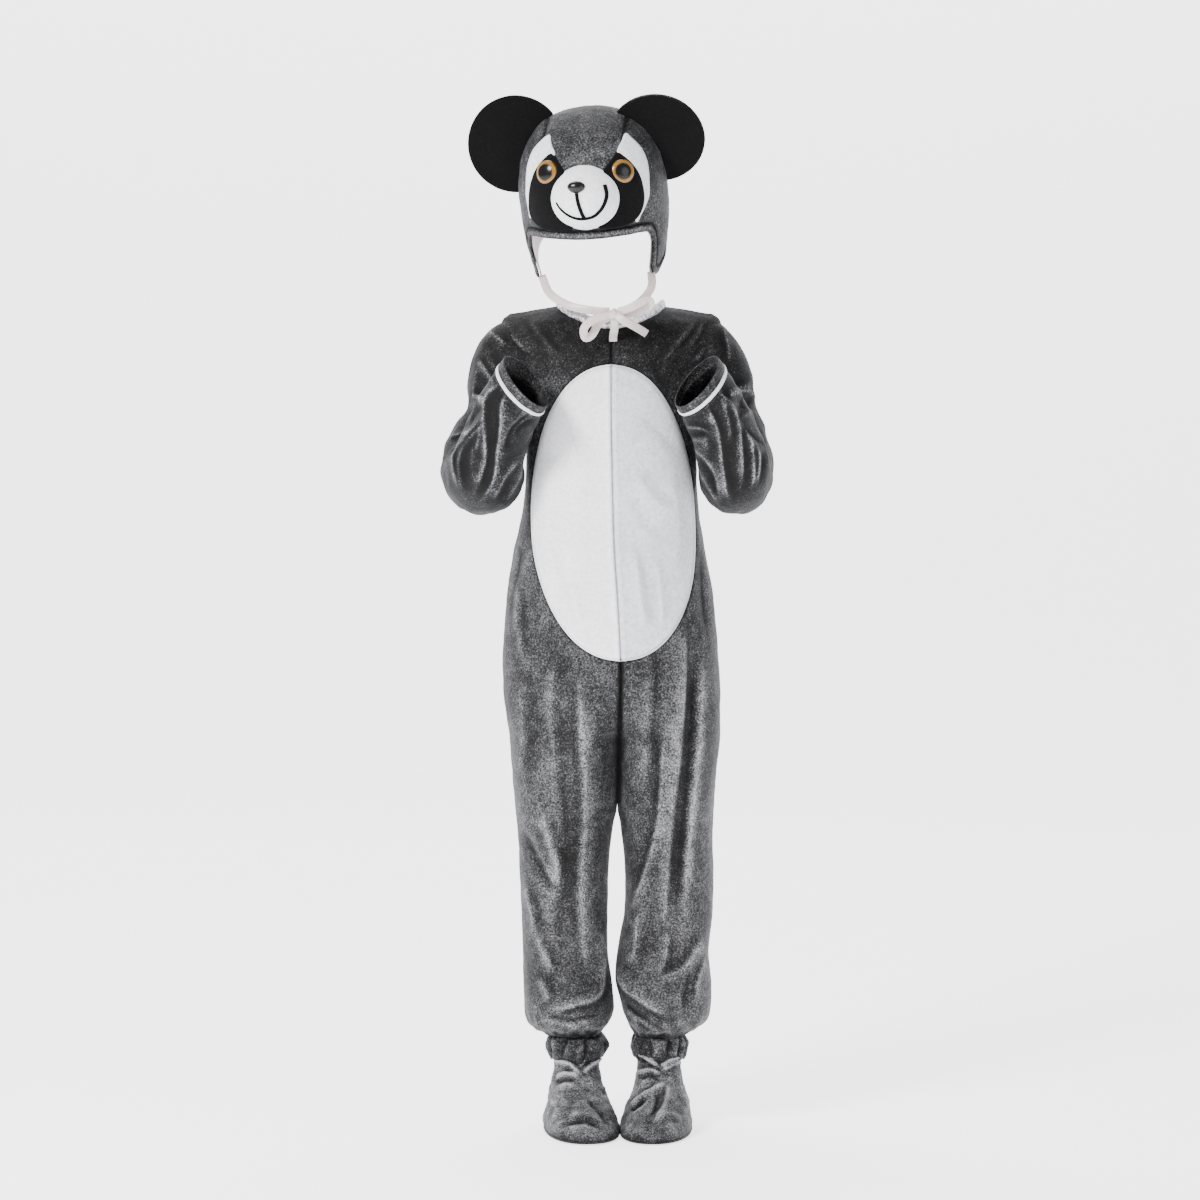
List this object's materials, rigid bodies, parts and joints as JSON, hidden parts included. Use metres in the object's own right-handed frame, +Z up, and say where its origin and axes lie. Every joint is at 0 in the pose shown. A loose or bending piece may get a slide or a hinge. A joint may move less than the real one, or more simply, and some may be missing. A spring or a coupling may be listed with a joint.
{
  "type": "child's animal costume of jumpsuit, eared cap and booties, in worn form",
  "caption": "Child's velour animal jumpsuit with a white belly, an eared cap with a sewn face, and two booties, in the hollow form of wear.",
  "frame": {"origin": "on the shoulder line, midway between the two shoulders, where the wearer's shoulders carry the suit", "axes": "+Z up, -Y the front of the suit, +X the wearer's left"},
  "size_m": [0.3498, 0.2448, 1.094],
  "materials": {
    "velour": "dark grey crushed velour with a sheen on the folds",
    "fleece": "white short-pile fleece",
    "felt": "black felt",
    "satin": "pinkish-white satin",
    "trim": "silvery white bias tape",
    "eye_plastic": "clear amber with a black pupil",
    "nose_plastic": "glossy black"
  },
  "bodies": {
    "root": {"front_right": "velour", "front_left": "velour", "back_right": "velour", "back_left": "velour", "belly_right": "fleece", "belly_left": "fleece", "sleeve_right": "velour", "sleeve_left": "velour", "cuff_tape_right": "trim", "cuff_tape_left": "trim", "back_placket": "velour", "neck_binding": "trim", "ankle_frill_right": "velour", "ankle_frill_left": "velour", "bootie_right": "velour", "bootie_left": "velour", "bootie_sole_right": "velour", "bootie_sole_left": "velour", "cap_crown": "velour", "cap_side_right": "velour", "cap_side_left": "velour", "cap_band": "velour", "cap_lining": "satin", "ear_front_right": "felt", "ear_front_left": "felt", "ear_back_right": "velour", "ear_back_left": "velour", "brow_patch_right": "fleece", "brow_patch_left": "fleece", "eye_patch_right": "felt", "eye_patch_left": "felt", "eye_right": "eye_plastic", "eye_left": "eye_plastic", "muzzle": "fleece", "nose": "nose_plastic", "tie_knot": "satin", "tie_strap_right": "satin", "tie_strap_left": "satin", "tie_loop_right": "satin", "tie_loop_left": "satin", "tie_end_right": "satin", "tie_end_left": "satin"}
  },
  "joints": []
}
